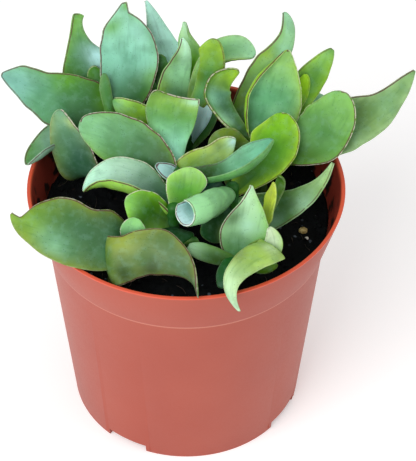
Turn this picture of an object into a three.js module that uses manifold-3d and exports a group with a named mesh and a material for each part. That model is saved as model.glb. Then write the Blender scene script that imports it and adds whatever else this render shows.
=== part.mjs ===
// A ripple jade in a terracotta-coloured plastic nursery pot. Millimetres, +Z up.
// The origin is the middle of the pot's flat underside, on the surface it stands on.
// +X points to the right of the plant's front and +Y away from the front.
import * as THREE from "three";
import { mergeVertices } from "three/addons/utils/BufferGeometryUtils.js";
import Module from "manifold-3d";

const wasm = await Module();
wasm.setup();

// Pot: a thin moulded wall that widens upwards, with a flared band under the rim.
const POT_HEIGHT = 92.4;
const RIM_RADIUS = 52.5;
const BAND_HEIGHT = 19;
const BAND_FOOT_RADIUS = 47.3;
const LEDGE = 0.7;
const BASE_RADIUS = 40;
const WALL = 1.3;
const FLOOR = 2.4;
const EDGE = 0.4;
const POT_SIDES = 64;

// Drain recesses: four pockets where the wall meets the floor, each with a slot in its roof.
const RECESS_COUNT = 4;
const RECESS_FIRST_ANGLE = -31.5;
const RECESS_WIDTH = 15;
const RECESS_HEIGHT = 3.2;
const RECESS_DEPTH = 6.5;
const RECESS_WALL = 1.5;
const SLOT_WIDTH = 9;
const SLOT_DEPTH = 2.5;

// Soil: fills the pot to about 10 mm below the rim.
const SOIL = 82;
const SOIL_RELIEF = 0.8;
const SOIL_SIDES = 48;
const SOIL_RINGS = [9, 18, 27, 36, 43];
const GAP = 0.3;

// Stems: thin green tubes that stand in plain holes in the soil.
const STEM_RADIUS = 2.3;
const STEM_TIP_RADIUS = 1.5;
const STEM_SIDES = 8;
const STEM_DEPTH = 11;

// Leaves: fleshy blades, thick along the middle and thin at the margin.
const NECK = 1.6;
const NARROWEST = 0.5;
const LEAF_HALF_THICKNESS = 1.1;
const MARGIN_HALF_THICKNESS = 0.4;
const LEAF_SPANS = 7;
const LEAF_STRIPS = 4;
const STRIP_TURN = 40;
const SMALL_LEAF = 7;

// One entry for each leafy stem. A leaf leaves its stem at the height up above the soil, and its
// midrib passes through the points of rib. It is width across at the part wide of its length, and
// base, point and blunt shape its two ends. across is the direction from its left margin to its
// right one, as azimuth and elevation, and its face is on the side that this and the midrib give.
// roll turns the two halves up towards the face, in degrees, and flat is the part of each that
// stays flat. left and right wave the margins: height in mm, waves in the length, and phase in
// degrees. Each lobe pushes a margin out: side, -1 or 1, its part of the length, its spread along
// it, and mm. horn draws the tip's corners out, mm.
const STEMS = {
  stem_back_left: {
    foot: [-24, 17],
    top: [-24, 19, 104],
    leaves: [
      // The long one that reaches out to the left.
      { up: 17, rib: [[-42.5, 25.5, 108], [-61.5, 30.5, 114]], width: 20.5, across: [90, 48],
        wide: 0.35, base: 0.5, point: 0.8, roll: [15, 10], right: [1.5, 1, 160],
        lobes: [[1, 0.86, 0.07, 0.8], [1, 0.65, 0.14, -1.8], [1, 0.27, 0.08, 1]] },
      // The low cupped one behind it, whose tip hangs over the rim.
      { up: 9, rib: [[-40.5, 17, 96], [-53, 6.5, 95]], width: 17, across: [120, 5], wide: 0.5,
        base: 0.7, roll: [105, 40],
        lobes: [[-1, 0.42, 0.27, -8], [-1, 0.88, 0.1, 2.5], [1, 0.75, 0.2, -1.5]] },
      // The tall one with a drawn-out tip.
      { up: 20, rib: [[-35, 39.5, 116], [-35.5, 42.5, 130]], width: 14.5, across: [0, 0],
        wide: 0.35, point: 2.6, blunt: 2, roll: [30, 30],
        lobes: [[-1, 0.66, 0.2, -1.2], [-1, 0.27, 0.15, 3], [1, 0.64, 0.2, -0.9], [1, 0.38, 0.12, 1.2]] },
      // Two young leaves beside the stem's tip.
      { up: 18, rib: [[-29.5, 30.5, 109], [-30.5, 33.5, 115]], width: 6, across: [10, 0] },
      { up: 19, rib: [[-26.5, 24.5, 110], [-27, 28.5, 116]], width: 4, across: [10, 0] },
      // The tallest and widest upright leaf.
      { up: 18, rib: [[-19, 34.5, 116], [-20, 45, 133]], width: 19.5, across: [0, -5], wide: 0.5,
        base: 0.8, point: 0.85, left: [1, 1, 0], right: [1, 1.5, 180],
        lobes: [[-1, 0.8, 0.2, 2], [1, 0.93, 0.09, -3.2], [1, 0.78, 0.1, -0.6]] },
      // The dark upright one that stands low at the left.
      { up: 4, rib: [[-32, 8.5, 90], [-38.5, 12.5, 100], [-41, 15, 112]], width: 16,
        across: [-20, 0], wide: 0.45, base: 0.5, roll: [20, 30], lobes: [[-1, 0.3, 0.2, 1.8]] },
      // Two that spread towards the back.
      { up: 12, rib: [[-35, 31, 101], [-44, 43, 99]], width: 15, across: [30, -10],
        left: [1.5, 1.3, 0], right: [1.5, 1.3, 120] },
      { up: 14, rib: [[-22, 39, 106], [-20, 58, 100]], width: 16, across: [0, 0],
        left: [2, 1.3, 0], right: [2, 1.3, 160] },
      // Two short ones low on the stem.
      { up: 6, rib: [[-29, 27, 92], [-34, 35, 94]], width: 10, across: [30, 0] },
      { up: 8, rib: [[-18.5, 27, 94], [-15, 36, 97]], width: 9, across: [-20, 0] },
    ],
  },
  stem_back: {
    foot: [0, 21],
    top: [0, 22, 104],
    leaves: [
      // The tall pale one behind the widest leaf.
      { up: 17, rib: [[-7, 40.5, 112], [-13.5, 49.5, 130]], width: 10.5, across: [0, -10],
        wide: 0.45, point: 0.9,
        lobes: [[-1, 0.85, 0.15, -0.9], [1, 0.8, 0.15, 0.3], [1, 0.5, 0.12, 2]] },
      // The mint one in front of it.
      { up: 18, rib: [[-4.5, 29, 109], [-2, 33, 117], [-1.5, 36, 125]], width: 11, across: [20, 0],
        wide: 0.35, base: 0.5, point: 0.9, roll: [20, 20] },
      // The bright pointed one in the middle of the back.
      { up: 17, rib: [[2, 37.5, 112], [-0.5, 42, 127]], width: 9, across: [-20, 0], wide: 0.5,
        point: 1.1, lobes: [[1, 0.85, 0.12, -1.6], [-1, 0.8, 0.15, 1]] },
      // The blunt yellow-green one.
      { up: 18, rib: [[8, 27.5, 116], [8.5, 32, 128]], width: 9, across: [-20, 0], blunt: 2.2,
        lobes: [[-1, 0.88, 0.15, 1.4]], horn: -1 },
      // The one that reaches to the right behind it.
      { up: 20, rib: [[9.5, 35, 117], [23, 36, 117]], width: 10.5, across: [-105, -40], wide: 0.75,
        point: 0.6, roll: [20, 95], flat: [0, 0.2] },
      // The one with a yellow-green upper margin that points to the left.
      { up: 15, rib: [[-15, 18.5, 106], [-24, 22.5, 110]], width: 8.5, across: [90, 50], wide: 0.5,
        roll: [15, 10] },
      // The small dark one between the tall ones.
      { up: 17, rib: [[-8, 33.5, 110], [-7.5, 36.5, 117]], width: 6, across: [0, -10],
        blunt: 1.2 },
      // The short dark one low in the middle.
      { up: 8, rib: [[4, 22, 102], [6.5, 25.5, 108]], width: 8, across: [0, -10] },
      // Two that spread towards the back.
      { up: 9, rib: [[-4, 38, 99], [-5, 53, 96]], width: 14, across: [0, 0], left: [2, 1.3, 60],
        right: [2, 1.3, 200] },
      { up: 14, rib: [[5, 36, 103], [7, 50, 100]], width: 11, across: [0, 0], left: [1.5, 1.3, 0],
        right: [1.5, 1.3, 160] },
      // Two short ones low on the stem.
      { up: 5, rib: [[5, 30, 91], [9, 39, 94]], width: 9, across: [-30, 0] },
      { up: 6, rib: [[-6, 29, 92], [-10, 37, 95]], width: 9, across: [30, 0] },
    ],
  },
  stem_back_right: {
    foot: [25, 9],
    top: [24, 10, 103],
    leaves: [
      // The folded one with a tip that curls to the right.
      { up: 18, rib: [[10, 19, 113.5], [17.5, 25.5, 119.5]], width: 10, across: [0, -10],
        roll: [100, 30], flat: [0.35, 0] },
      // The tall one with a pale tip.
      { up: 19, rib: [[23, 26, 111], [30.5, 32, 123], [32, 38, 134]], width: 11, across: [-20, 0],
        wide: 0.45, point: 0.6, roll: [25, 25],
        lobes: [[-1, 0.78, 0.2, -1.8], [-1, 0.13, 0.12, 4]] },
      // The wide one with a yellow right margin.
      { up: 16, rib: [[28.5, 20, 112], [33.5, 26, 128]], width: 19, across: [0, -10], wide: 0.42,
        base: 0.5, point: 0.85, roll: [125, 25], flat: [0.5, 0],
        lobes: [[-1, 0.55, 0.25, 3], [1, 0.45, 0.25, 0.8]] },
      // The slim pointed one and the small round one beside it.
      { up: 18, rib: [[36, 22, 106], [43, 27.5, 115.5], [48.5, 32.5, 123]], width: 8,
        across: [0, -10], lobes: [[-1, 0.58, 0.24, 2.4]] },
      { up: 20, rib: [[35, 22, 108], [39.5, 26, 117.7]], width: 7.2, across: [0, -10] },
      // The long one that reaches out to the right.
      { up: 16, rib: [[53.5, 14, 105], [75.5, 27.5, 118]], width: 16, across: [-90, -42],
        wide: 0.5, base: 1.2, point: 0.9, left: [1.2, 1.3, 180],
        lobes: [[-1, 0.5, 0.12, 1.6], [-1, 0.76, 0.13, -1.7]] },
      // The broad rounded one in front of it.
      { up: 13, rib: [[43, 10, 105], [50.5, 16, 119]], width: 17.5, across: [-40, -35], wide: 0.62,
        point: 0.5, roll: [10, 15], lobes: [[1, 0.45, 0.2, 1.6]] },
      // Two that spread towards the back.
      { up: 12, rib: [[28, 30, 103], [31, 50, 99]], width: 15, across: [0, 0], left: [2, 1.3, 0],
        right: [2, 1.3, 160] },
      { up: 9, rib: [[37, 25, 101], [47, 38, 98]], width: 13, across: [-40, 0],
        left: [1.5, 1.3, 90], right: [2, 1.3, 160] },
      // Two short ones low on the stem.
      { up: 6, rib: [[33, 17, 91], [39, 24, 93]], width: 9, across: [-45, 0] },
      { up: 7, rib: [[24, 20, 93], [22, 31, 96]], width: 9, across: [0, 0] },
    ],
  },
  stem_centre: {
    foot: [-4, -3],
    top: [-4, -2, 102],
    leaves: [
      // The square-ended one in the middle.
      { up: 13, rib: [[-4.5, 13.5, 107], [-3, 18, 115]], width: 16.5, across: [0, 6], wide: 0.7,
        point: 0.5, blunt: 7, roll: [15, 10], lobes: [[-1, 0.6, 0.3, 1]], horn: 2 },
      // The broad oval one that lies to the left.
      { up: 17, rib: [[-18.5, 7.5, 103], [-35, 12, 109]], width: 17.5, across: [90, 47], wide: 0.5,
        base: 0.6, point: 0.5, roll: [5, 10] },
      // The young folded one at the stem's tip.
      { up: 15, rib: [[-4.5, -3.8, 99.8], [-10, -1.8, 102.8]], width: 6.4, across: [90, 30],
        roll: [30, 40] },
      // The blue-green channel that reaches to the right.
      { up: 15, rib: [[10, -5.7, 101.7], [20.5, -5.5, 107], [28, -0.5, 112.5]], width: 14,
        across: [-75, -5], wide: 0.6, base: 0.6, point: 0.6, roll: [55, 100],
        lobes: [[-1, 0.4, 0.25, -2.2]] },
      // The yellow-green one behind it, seen from outside.
      { up: 14, rib: [[9.5, 2.5, 104], [16, 3, 109.5]], width: 12, across: [-80, -50], wide: 0.3,
        base: 0.4, point: 1, roll: [20, 10], lobes: [[-1, 0.48, 0.22, -2]] },
      // A short one low on the stem.
      { up: 5, rib: [[-11, 3.5, 90], [-17, 7, 94]], width: 9, across: [60, 20] },
    ],
  },
  stem_right: {
    foot: [15, -6],
    top: [15, -4, 97],
    leaves: [
      // The broad one with a yellow-green margin.
      { up: 10, rib: [[27, 3.5, 102], [31, 11, 114]], width: 16.5, across: [0, -20], wide: 0.65,
        point: 0.55, roll: [20, 20], lobes: [[-1, 0.2, 0.2, 3], [-1, 0.68, 0.14, 1.2]] },
      // The olive one behind the blades of the middle stem.
      { up: 12, rib: [[14.5, 6.5, 101], [16, 9.5, 108.2]], width: 15, across: [-15, -10] },
      // The one rolled into a tube, open at its end.
      { up: 9, rib: [[9, -20.3, 98.1], [0.9, -31.1, 103.7]], width: 23.5, across: [169, -41],
        wide: 0.7, base: 0.5, point: 0.5, blunt: 11, roll: [155, 160] },
      // The slim folded one that lies low at the right.
      { up: 4, rib: [[34.5, -9.3, 92], [48, 2, 100]], width: 13, across: [-60, -40], wide: 0.2,
        base: 0.5, point: 1.4, roll: [30, 55], lobes: [[1, 0.88, 0.12, 0.5], [1, 0.2, 0.15, 2]] },
      // Two dark ones in the shade below the tube and behind it.
      { up: 5, rib: [[9, -17.5, 90.5], [4.5, -22, 93]], width: 12, across: [100, 45], wide: 0.5,
        base: 0.5 },
      { up: 7, rib: [[9, -5, 92], [5.5, -3, 95.5]], width: 10, across: [100, 45], wide: 0.5,
        base: 0.5 },
    ],
  },
  stem_front: {
    foot: [-5, -17],
    top: [-4, -16, 99],
    leaves: [
      // The cupped one that arches to the left.
      { up: 12, rib: [[-21, -6.5, 99.5], [-33.5, -7.5, 96]], width: 18, across: [90, 10],
        wide: 0.4, base: 0.8, point: 0.85, roll: [110, 45], lobes: [[-1, 0.4, 0.3, 1.5]] },
      // The round bright one at the stem's tip.
      { up: 10, rib: [[-0.5, -12.4, 101], [0.4, -7.6, 107]], width: 14.5, across: [8, -9],
        wide: 0.65, roll: [20, 25], lobes: [[1, 0.45, 0.22, -1.9]] },
      // The bright one below it at the left.
      { up: 7, rib: [[-12.5, -19, 99], [-19.5, -19.5, 104]], width: 12, across: [80, 50],
        wide: 0.5, base: 0.7, lobes: [[-1, 0.5, 0.3, 3]] },
      // Two low on the stem, one of them young.
      { up: 3, rib: [[0.8, -26, 90], [2.5, -26, 93.5]], width: 5, across: [0, -10],
        roll: [10, 10] },
      { up: 6, rib: [[-3.5, -23, 91], [-2.5, -29, 90]], width: 12, across: [180, 10], wide: 0.5 },
    ],
  },
  stem_front_left: {
    foot: [-23, -33],
    top: [-17, -25, 91],
    leaves: [
      // The largest one, which reaches out over the rim to the left.
      { up: 8, rib: [[-28, -30.5, 97.5], [-44, -31, 103], [-55, -28.5, 106.5]], width: 22,
        across: [90, 40], wide: 0.42, base: 0.6, point: 1, roll: [10, 10], right: [1.5, 1.4, 200],
        lobes: [[1, 0.9, 0.08, -3.4], [1, 0.66, 0.1, 0.8], [1, 0.4, 0.1, -2.4]] },
      // The broad arched one whose tip bends down onto the front of the rim.
      { up: 3, rib: [[-22, -36.5, 95.5], [-7, -38.5, 98], [3.5, -53, 93.5]], width: 19,
        across: [-80, -45], wide: 0.3, base: 0.5, point: 1.2, roll: [-25, -25],
        lobes: [[-1, 0.38, 0.14, -3.2], [-1, 0.66, 0.1, 1.2], [1, 0.76, 0.14, 1.2]] },
      // The pale young one between them.
      { up: 8, rib: [[-17, -27.8, 97.7], [-15.7, -25.4, 101.2]], width: 8.6, across: [0, -10] },
      // A short one low on the stem.
      { up: 2, rib: [[-31, -28.5, 89], [-36.5, -23, 92]], width: 9, across: [45, 0] },
    ],
  },
  stem_front_right: {
    foot: [19, -30],
    top: [19, -30, 92],
    leaves: [
      // The pale pointed one.
      { up: 4, rib: [[18.5, -26.5, 98], [20.5, -20.5, 111]], width: 16, across: [-10, -10],
        wide: 0.4, base: 0.5, point: 1, roll: [30, 30],
        lobes: [[-1, 0.8, 0.17, -1.6], [1, 0.66, 0.2, 1]] },
      // The low one that points to the left.
      { up: 3, rib: [[7.5, -32.5, 92], [0.5, -31.5, 95]], width: 6, across: [80, 40] },
      // The hooked one whose tip hangs over the front of the rim.
      { up: 9, rib: [[26, -37, 98.5], [16.5, -46, 99.5], [16.5, -55.5, 90]], width: 10.5,
        across: [145, 10], wide: 0.3, base: 0.7, point: 0.9, roll: [-10, -10] },
      // The pale one that stands at its root.
      { up: 6, rib: [[27, -33, 95], [26, -29.5, 101.2]], width: 7.2, across: [-20, -10],
        roll: [30, 50] },
      // Three slim young ones at the right.
      { up: 9, rib: [[26, -20.5, 98], [28, -16, 108]], width: 6, across: [-60, 20],
        lobes: [[-1, 0.72, 0.12, 1.2], [1, 0.45, 0.12, 0.8]] },
      { up: 9, rib: [[29, -11.5, 98], [30, -9, 104]], width: 4, across: [-40, 0] },
      { up: 3, rib: [[24, -33.5, 87], [29, -34, 89]], width: 4, across: [-70, -40] },
      // The dark one that hangs in the shade below the hooked one.
      { up: 5, rib: [[14, -37, 89.5], [10.5, -43, 87.5]], width: 8, across: [150, 10], wide: 0.4 },
    ],
  },
};
const LEAF_DEFAULTS = {
  wide: 0.6, base: 1.3, point: 0.7, blunt: 0.5, roll: [15, 15], flat: [0, 0], left: [0, 1, 0],
  right: [0, 1, 0], lobes: [], horn: 0,
};

// Stones: two small ones that lie half sunk in the soil at the right.
const STONES = {
  pebble: { at: [38.5, -10.5], size: [1.5, 1.3, 1.1], color: 0xb09a62 },
  perlite_grain: { at: [39.5, -13.5], size: [0.8, 0.7, 0.6], color: 0xcfcabd },
};

const POT_COLOR = 0xb85c4d;
const SOIL_COLOR = 0x15110f;
const LEAF_COLOR = 0x6f9c62;

function radians(degrees) {
  return degrees * Math.PI / 180;
}

function solid(geometry) {
  const bare = geometry.clone();
  bare.deleteAttribute("normal");
  bare.deleteAttribute("uv");
  const merged = mergeVertices(bare, 1e-4);
  const index = Array.from(merged.index.array);
  const triangles = [];
  for (let i = 0; i < index.length; i += 3) {
    const [a, b, c] = index.slice(i, i + 3);
    if (a !== b && b !== c && c !== a) triangles.push(a, b, c);
  }
  return new wasm.Manifold(new wasm.Mesh({
    numProp: 3,
    vertProperties: Float32Array.from(merged.attributes.position.array),
    triVerts: Uint32Array.from(triangles),
  }));
}

function meshOf(name, body, color, roughness) {
  const cut = body.getMesh();
  const geometry = new THREE.BufferGeometry();
  const points = new Float32Array(cut.vertProperties);
  geometry.setAttribute("position", new THREE.BufferAttribute(points, 3));
  geometry.setIndex(Array.from(cut.triVerts));
  geometry.computeVertexNormals();
  const material = new THREE.MeshStandardMaterial({ color, roughness, metalness: 0 });
  const mesh = new THREE.Mesh(geometry, material);
  mesh.name = name;
  return mesh;
}

function turned(profile, sides) {
  const points = profile.map(([radius, height]) => new THREE.Vector2(radius, height));
  const geometry = new THREE.LatheGeometry(points, sides);
  geometry.rotateX(Math.PI / 2);
  return geometry;
}

// A box whose inner face is at the radius inside, turned to the given angle about the pot's axis.
function blockAt(angle, inside, depth, width, low, high) {
  const geometry = new THREE.BoxGeometry(depth, width, high - low);
  geometry.translate(inside + depth / 2, 0, (low + high) / 2);
  geometry.rotateZ(radians(angle));
  return solid(geometry);
}

function recessAngles() {
  return Array.from({ length: RECESS_COUNT }, (_, i) => RECESS_FIRST_ANGLE + 360 / RECESS_COUNT * i);
}

// The wall's inner face as radius and height pairs from the floor up, moved inwards by the gap.
function innerWall(gap) {
  const bandFoot = POT_HEIGHT - BAND_HEIGHT;
  return [
    [BASE_RADIUS - WALL - gap, FLOOR + gap],
    [BAND_FOOT_RADIUS - LEDGE - WALL - gap, bandFoot - LEDGE + gap],
    [BAND_FOOT_RADIUS - WALL - gap, bandFoot + gap],
    [RIM_RADIUS - WALL - gap, POT_HEIGHT - EDGE],
  ];
}

function wallRadiusAt(height, gap) {
  const wall = innerWall(gap);
  const above = wall.findIndex(([, z]) => z > height);
  const [r0, z0] = wall[above - 1];
  const [r1, z1] = wall[above];
  return r0 + (r1 - r0) * (height - z0) / (z1 - z0);
}

function makePot() {
  const bandFoot = POT_HEIGHT - BAND_HEIGHT;
  const profile = [
    [0, 0],
    [BASE_RADIUS - EDGE, 0],
    [BASE_RADIUS, EDGE],
    [BAND_FOOT_RADIUS - LEDGE, bandFoot - LEDGE / 2],
    [BAND_FOOT_RADIUS, bandFoot],
    [RIM_RADIUS, POT_HEIGHT - EDGE],
    [RIM_RADIUS - EDGE, POT_HEIGHT],
    [RIM_RADIUS - WALL + EDGE / 2, POT_HEIGHT],
    ...innerWall(0).reverse(),
    [0, FLOOR],
  ];
  let pot = solid(turned(profile, POT_SIDES));
  const inside = BASE_RADIUS - WALL - RECESS_DEPTH;
  const roof = RECESS_HEIGHT + RECESS_WALL;
  for (const angle of recessAngles()) {
    const width = RECESS_WIDTH + 2 * RECESS_WALL;
    const depth = RECESS_DEPTH + WALL / 2 + RECESS_WALL;
    pot = pot.add(blockAt(angle, inside - RECESS_WALL, depth, width, FLOOR / 2, roof));
    pot = pot.subtract(blockAt(angle, inside, RECESS_DEPTH * 2, RECESS_WIDTH, -1, RECESS_HEIGHT));
    const slotInside = inside + RECESS_DEPTH / 2 - SLOT_DEPTH / 2;
    pot = pot.subtract(blockAt(angle, slotInside, SLOT_DEPTH, SLOT_WIDTH, 1, roof + 1));
  }
  return meshOf("pot", pot, POT_COLOR, 0.55);
}

// Gentle lumps, never higher than SOIL, so that a leaning stem clears the soil round its hole.
function soilHeight(x, y) {
  const lumps = Math.sin(x * 0.31 + 1) * Math.cos(y * 0.27) + 0.6 * Math.sin(x * 0.55 - y * 0.48);
  const edge = Math.max(Math.hypot(x, y) / BAND_FOOT_RADIUS - 0.8, 0);
  return SOIL - SOIL_RELIEF + SOIL_RELIEF * lumps / 1.6 - 6 * edge;
}

function makeSoil() {
  const rimRadius = wallRadiusAt(SOIL - 2, GAP);
  const wall = innerWall(GAP).filter(([, z]) => z < SOIL - 3);
  const rings = [...SOIL_RINGS].reverse().map((radius) => [radius, SOIL]);
  const profile = [[0, FLOOR + GAP], ...wall, [rimRadius, SOIL - 2], ...rings, [0, SOIL]];
  const geometry = turned(profile, SOIL_SIDES);
  const points = geometry.attributes.position;
  for (let i = 0; i < points.count; i += 1) {
    if (points.getZ(i) > SOIL - 1) points.setZ(i, soilHeight(points.getX(i), points.getY(i)));
  }
  let soil = solid(geometry);
  const inside = BASE_RADIUS - WALL - RECESS_DEPTH - RECESS_WALL - GAP;
  for (const angle of recessAngles()) {
    const width = RECESS_WIDTH + 2 * RECESS_WALL + 2 * GAP;
    const roof = RECESS_HEIGHT + RECESS_WALL + GAP;
    soil = soil.subtract(blockAt(angle, inside, BASE_RADIUS, width, 0, roof));
  }
  for (const stem of Object.values(STEMS)) {
    const depth = STEM_DEPTH + GAP;
    const radius = STEM_RADIUS + GAP + 0.1;
    const hole = new THREE.CylinderGeometry(radius, radius, depth * 2, 2 * STEM_SIDES);
    hole.rotateX(Math.PI / 2);
    hole.translate(stem.foot[0], stem.foot[1], SOIL);
    soil = soil.subtract(solid(hole));
  }
  for (const stone of Object.values(STONES)) soil = soil.subtract(solid(stoneGeometry(stone, GAP)));
  return meshOf("soil", soil, SOIL_COLOR, 1);
}

function stoneGeometry({ at, size }, grow) {
  const geometry = new THREE.IcosahedronGeometry(1, 1);
  geometry.scale(size[0] + grow, size[1] + grow, size[2] + grow);
  geometry.translate(at[0], at[1], soilHeight(at[0], at[1]));
  return geometry;
}

// The middle of a stem at a height: upright in the soil, then leaning from its foot to its top.
function stemPoint({ foot, top }, height) {
  const part = Math.min(Math.max((height - SOIL) / (top[2] - SOIL), 0), 1);
  const eased = 0.6 * part + 0.4 * part * part * (3 - 2 * part);
  const x = foot[0] + (top[0] - foot[0]) * eased;
  const y = foot[1] + (top[1] - foot[1]) * eased;
  return new THREE.Vector3(x, y, height);
}

function stemSolid(stem) {
  const length = stem.top[2] - SOIL;
  const levels = [-STEM_DEPTH, 0, length / 3, length * 2 / 3, length - STEM_TIP_RADIUS, length];
  const radii = [STEM_RADIUS, STEM_RADIUS, STEM_RADIUS, STEM_RADIUS, STEM_TIP_RADIUS * 1.2, 0.5];
  const positions = [];
  levels.forEach((level, k) => {
    const middle = stemPoint(stem, SOIL + level);
    for (let i = 0; i < STEM_SIDES; i += 1) {
      const angle = 2 * Math.PI * i / STEM_SIDES;
      positions.push(middle.x + radii[k] * Math.cos(angle), middle.y + radii[k] * Math.sin(angle));
      positions.push(middle.z);
    }
  });
  return solid(ringsGeometry(positions, STEM_SIDES));
}

// Joins rings of equal counts of points into a closed tube, with a fan over each end.
function ringsGeometry(positions, count) {
  const rings = positions.length / 3 / count;
  const index = [];
  for (let k = 0; k < rings - 1; k += 1) {
    for (let i = 0; i < count; i += 1) {
      const a = k * count + i;
      const b = k * count + (i + 1) % count;
      index.push(a, b, b + count, a, b + count, a + count);
    }
  }
  for (let i = 1; i < count - 1; i += 1) {
    const last = (rings - 1) * count;
    index.push(0, i + 1, i, last, last + i, last + i + 1);
  }
  const geometry = new THREE.BufferGeometry();
  geometry.setAttribute("position", new THREE.Float32BufferAttribute(positions, 3));
  geometry.setIndex(index);
  return geometry;
}

function direction([azimuth, elevation]) {
  const flat = Math.cos(radians(elevation));
  const x = flat * Math.cos(radians(azimuth));
  const y = flat * Math.sin(radians(azimuth));
  return new THREE.Vector3(x, y, Math.sin(radians(elevation)));
}

// The point and the direction of the smooth curve through evenly spaced points, at the part t.
function curveAt(points, t) {
  const spans = points.length - 1;
  const place = new THREE.Vector3();
  const slope = new THREE.Vector3();
  points.forEach((point, i) => {
    let weight = 1;
    let change = 0;
    for (let j = 0; j <= spans; j += 1) {
      if (j !== i) {
        change = (change * (t * spans - j) + weight * spans) / (i - j);
        weight *= (t * spans - j) / (i - j);
      }
    }
    place.addScaledVector(point, weight);
    slope.addScaledVector(point, change);
  });
  return { place, along: slope.normalize() };
}

function halfWidth({ width, wide, base, point, blunt, lobes }, t, sign) {
  const half = width / 2;
  const rest = (t - wide) / (1 - wide);
  const swell = NECK + (half - NECK) * Math.sin(Math.PI / 2 * Math.min(t / wide, 1)) ** base;
  const narrow = blunt + (half - blunt) * Math.max(Math.cos(Math.PI / 2 * rest), 0) ** point;
  let result = t < wide ? swell : narrow;
  for (const [side, at, spread, bulge] of lobes) {
    if (side === sign) result += bulge * Math.exp(-(((t - at) / spread) ** 2));
  }
  return Math.max(result, NARROWEST);
}

function bladeAt(leaf, frame, t, e) {
  const side = e < 0 ? 0 : 1;
  const sign = e < 0 ? -1 : 1;
  const half = halfWidth(leaf, t, sign);
  const flat = leaf.flat[side];
  const total = radians(leaf.roll[side]);
  const turn = total * Math.max(Math.abs(e) - flat, 0) / (1 - flat);
  const radius = half * (1 - flat) / total;
  const out = half * Math.min(Math.abs(e), flat) + radius * Math.sin(turn);
  const [height, waves, phase] = side === 0 ? leaf.left : leaf.right;
  const swell = Math.sin(Math.PI * Math.min(t, 1)) ** 0.6;
  const wave = height * Math.sin(2 * Math.PI * waves * t + radians(phase)) * e * e * swell;
  const point = frame.place.clone();
  point.addScaledVector(frame.right, sign * out);
  point.addScaledVector(frame.face, radius * (1 - Math.cos(turn)) + wave);
  point.addScaledVector(frame.along, leaf.horn * e * e * t ** 6);
  const normal = frame.face.clone().multiplyScalar(Math.cos(turn));
  normal.addScaledVector(frame.right, -sign * Math.sin(turn));
  return { point, normal };
}

function leafFrame(leaf, rib, t) {
  const { place, along } = curveAt(rib, t);
  const right = direction(leaf.across);
  right.addScaledVector(along, -right.dot(along)).normalize();
  const face = new THREE.Vector3().crossVectors(right, along);
  return { place, right, face, along };
}

function leafSolid(stem, shape) {
  const leaf = { ...LEAF_DEFAULTS, ...shape };
  const rib = [stemPoint(stem, SOIL + leaf.up), ...leaf.rib.map((p) => new THREE.Vector3(...p))];
  const small = leaf.width < SMALL_LEAF;
  const spans = small ? LEAF_SPANS - 2 : LEAF_SPANS;
  const [near, far] = leaf.roll.map((roll, side) => Math.abs(roll) / (1 - leaf.flat[side]));
  const turn = near + far;
  const strips = small ? LEAF_STRIPS / 2 : Math.max(LEAF_STRIPS, 2 * Math.ceil(turn / STRIP_TURN / 2));
  const positions = [];
  for (let i = 0; i <= spans; i += 1) {
    const t = 1 - (1 - i / spans) ** 1.2;
    const frame = leafFrame(leaf, rib, t);
    const faces = [[], []];
    for (let j = 0; j <= strips; j += 1) {
      const e = 2 * j / strips - 1;
      const { point, normal } = bladeAt(leaf, frame, t, e);
      const full = LEAF_HALF_THICKNESS - MARGIN_HALF_THICKNESS;
      const thick = MARGIN_HALF_THICKNESS + full * (1 - e * e) * (1 - t ** 4);
      faces[0].push(point.clone().addScaledVector(normal, thick));
      faces[1].unshift(point.clone().addScaledVector(normal, -thick));
    }
    faces.flat().forEach((p) => positions.push(p.x, p.y, p.z));
  }
  return solid(leafGeometry(positions, strips, spans));
}

// Both faces are split along the same diagonals, so that a waved blade can't cross itself.
function leafGeometry(positions, strips, spans) {
  const count = 2 * (strips + 1);
  const index = [];
  const quad = (a, b, c, d) => index.push(a, b, c, a, c, d);
  for (let i = 0; i < spans; i += 1) {
    const low = i * count;
    const high = low + count;
    for (let j = 0; j < strips; j += 1) {
      quad(low + j, low + j + 1, high + j + 1, high + j);
      const back = strips + 1 + j;
      index.push(low + back, low + back + 1, high + back);
      index.push(low + back + 1, high + back + 1, high + back);
    }
    quad(low + strips, low + strips + 1, high + strips + 1, high + strips);
    quad(low + count - 1, low, high, high + count - 1);
  }
  const last = spans * count;
  for (let j = 0; j < strips; j += 1) {
    const under = count - 1 - j;
    quad(j, under, under - 1, j + 1);
    quad(last + j, last + j + 1, last + under - 1, last + under);
  }
  const geometry = new THREE.BufferGeometry();
  geometry.setAttribute("position", new THREE.Float32BufferAttribute(positions, 3));
  geometry.setIndex(index);
  return geometry;
}

function makeStem(name, stem) {
  let body = stemSolid(stem);
  for (const leaf of stem.leaves) body = body.add(leafSolid(stem, leaf));
  return meshOf(name, body, LEAF_COLOR, 0.5);
}

function makeStone(name, stone) {
  return meshOf(name, solid(stoneGeometry(stone, 0)), stone.color, 0.8);
}

const group = new THREE.Group();
group.add(makePot(), makeSoil());
for (const [name, stem] of Object.entries(STEMS)) group.add(makeStem(name, stem));
for (const [name, stone] of Object.entries(STONES)) group.add(makeStone(name, stone));

export default group;
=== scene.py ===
# A ripple jade in a terracotta-coloured plastic nursery pot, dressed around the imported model.
# Metres, +Z up, the origin in the middle of the pot's underside.
import math
import random

import bmesh
import bpy
from mathutils import Matrix, Quaternion, Vector, noise


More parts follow.
